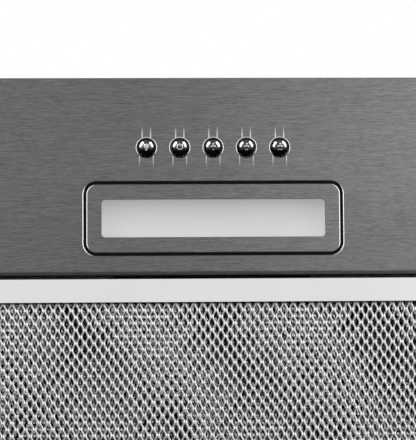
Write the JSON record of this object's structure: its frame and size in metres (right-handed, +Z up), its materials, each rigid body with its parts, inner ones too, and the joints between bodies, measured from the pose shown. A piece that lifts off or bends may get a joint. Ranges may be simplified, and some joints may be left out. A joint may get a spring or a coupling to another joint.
{
  "type": "range hood insert",
  "caption": "Built-in range hood insert: brushed steel fascia with push buttons and lamp, swing-down mesh grease filter, sheet housing, drum blower and duct collar with flaps.",
  "frame": {"origin": "centre of the return flange's top face, which bears on the cabinet floor's underside", "axes": "+Z up through the duct collar, +X to the cook's right along the fascia, -Y towards the cook"},
  "size_m": [0.552, 0.286, 0.2318],
  "materials": {
    "fascia_steel": "dark fine-brushed stainless steel",
    "drum_steel": "galvanised sheet, locked blades",
    "galvanised": "galvanised sheet",
    "bracket_zinc": "zinc plated",
    "screw_zinc": "bright zinc plated",
    "chrome": "polished chrome",
    "bezel_grey": "grey moulded plastic, satin",
    "opal": "opal diffuser",
    "white_plastic": "white moulded plastic",
    "black_plastic": "black moulded plastic",
    "grey_plastic": "grey moulded plastic",
    "spring_steel": "spring steel",
    "circuit_white": "white solder mask",
    "brass": "plain brass",
    "filter_aluminium": "satin aluminium",
    "mesh_aluminium": "bright expanded aluminium",
    "motor_black": "black enamel",
    "shaft_steel": "ground steel"
  },
  "bodies": {
    "hood": {"fascia": "fascia_steel", "housing_wrap": "galvanised", "housing_end_right": "galvanised", "housing_end_left": "galvanised", "cabinet_brackets": "bracket_zinc", "bracket_screws": "screw_zinc", "bracket_nuts": "screw_zinc", "electrics_cover": "galvanised", "electrics_screws": "screw_zinc", "switch_block": "white_plastic", "switch_bracket": "galvanised", "switch_screws": "screw_zinc", "switch_terminals": "brass", "button_rings": "chrome", "lamp_bezel": "bezel_grey", "lamp_diffuser": "opal", "lamp_housing": "white_plastic", "led_board": "circuit_white", "lamp_clips": "spring_steel", "led_driver": "white_plastic", "junction_box": "black_plastic", "junction_lid": "black_plastic", "terminal_block": "white_plastic", "cable_gland": "black_plastic", "gland_nut": "black_plastic", "capacitor": "filter_aluminium", "capacitor_clip": "galvanised", "blower_scroll": "galvanised", "blower_side_right": "galvanised", "blower_side_left": "galvanised", "motor_case": "motor_black", "motor_bearings": "brass", "motor_bracket": "bracket_zinc", "motor_screws": "screw_zinc", "duct_collar": "grey_plastic", "top_screws": "screw_zinc", "flap_spindle": "shaft_steel"},
    "filter": {"filter_frame": "filter_aluminium", "filter_mesh_front": "mesh_aluminium", "filter_mesh_core": "mesh_aluminium", "filter_mesh_rear": "mesh_aluminium", "filter_pivots": "shaft_steel", "latch_cup": "black_plastic"},
    "latch": {"latch_slide": "black_plastic"},
    "impeller": {"impeller": "drum_steel", "impeller_blades": "drum_steel", "impeller_rings": "drum_steel", "motor_shaft": "shaft_steel"},
    "flap_front": {"flap_front": "grey_plastic"},
    "flap_rear": {"flap_rear": "grey_plastic"},
    "button_light": {"cap_light": "chrome", "plunger_light": "white_plastic"},
    "button_off": {"cap_off": "chrome", "plunger_off": "white_plastic"},
    "button_speed_1": {"cap_speed_1": "chrome", "plunger_speed_1": "white_plastic"},
    "button_speed_2": {"cap_speed_2": "chrome", "plunger_speed_2": "white_plastic"},
    "button_speed_3": {"cap_speed_3": "chrome", "plunger_speed_3": "white_plastic"}
  },
  "joints": [
    {"name": "filter_swing", "type": "hinge", "parent": "hood", "child": "filter", "pos_m": [0, -0.0172, -0.0066], "axis": [-1, 0, 0], "range_deg": [0, 85]},
    {"name": "latch_slide", "type": "slide", "parent": "filter", "child": "latch", "axis": [0, -1, 0], "range_m": [0, 0.0045], "stiffness_N_per_m": 300, "springref_m": -0.003},
    {"name": "impeller_spin", "type": "hinge", "parent": "hood", "child": "impeller", "pos_m": [0, 0.04625, 0.102], "axis": [-1, 0, 0], "continuous": true},
    {"name": "flap_front_lift", "type": "hinge", "parent": "hood", "child": "flap_front", "pos_m": [0, 0, 0.186], "axis": [-1, 0, 0], "range_deg": [0, 75]},
    {"name": "flap_rear_lift", "type": "hinge", "parent": "hood", "child": "flap_rear", "pos_m": [0, 0, 0.186], "axis": [1, 0, 0], "range_deg": [0, 75]},
    {"name": "press_light", "type": "slide", "parent": "hood", "child": "button_light", "axis": [0, 0, 1], "range_m": [0, 0.0035], "stiffness_N_per_m": 500, "springref_m": -0.002},
    {"name": "press_off", "type": "slide", "parent": "hood", "child": "button_off", "axis": [0, 0, 1], "range_m": [0, 0.0035], "stiffness_N_per_m": 500, "springref_m": -0.002},
    {"name": "press_speed_1", "type": "slide", "parent": "hood", "child": "button_speed_1", "axis": [0, 0, 1], "range_m": [0, 0.0035], "stiffness_N_per_m": 500, "springref_m": -0.002},
    {"name": "press_speed_2", "type": "slide", "parent": "hood", "child": "button_speed_2", "axis": [0, 0, 1], "range_m": [0, 0.0035], "stiffness_N_per_m": 500, "springref_m": -0.002},
    {"name": "press_speed_3", "type": "slide", "parent": "hood", "child": "button_speed_3", "axis": [0, 0, 1], "range_m": [0, 0.0035], "stiffness_N_per_m": 500, "springref_m": -0.002}
  ]
}
